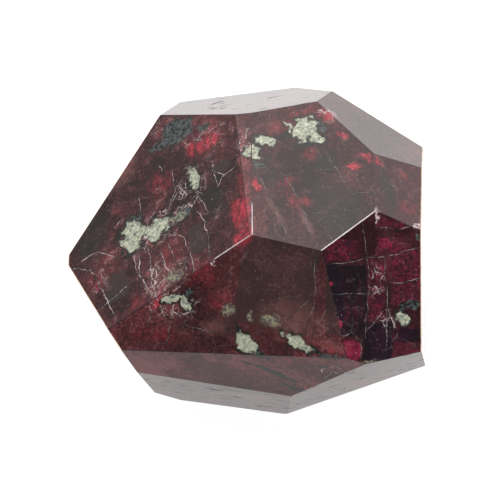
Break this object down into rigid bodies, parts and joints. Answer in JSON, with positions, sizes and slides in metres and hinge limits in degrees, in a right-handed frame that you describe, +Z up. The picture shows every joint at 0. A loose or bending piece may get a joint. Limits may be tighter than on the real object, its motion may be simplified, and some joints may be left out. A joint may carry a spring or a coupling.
{
  "type": "garnet crystal",
  "caption": "Blocky many-faced dark red garnet crystal with polished flat faces, for display; it rests on the flat face opposite its top.",
  "frame": {"origin": "middle of the bounding box's base, on the surface that the crystal rests on", "axes": "+Z up, away from the resting face; -Y towards the viewer who sees the big sloping faces; +X to the viewer's right"},
  "size_m": [0.0516, 0.0498, 0.0477],
  "materials": {
    "garnet": "polished dark red crystal, cloudy with fractures, with pale green mineral grown into it"
  },
  "bodies": {
    "root": {"garnet_crystal": "garnet"}
  },
  "joints": []
}
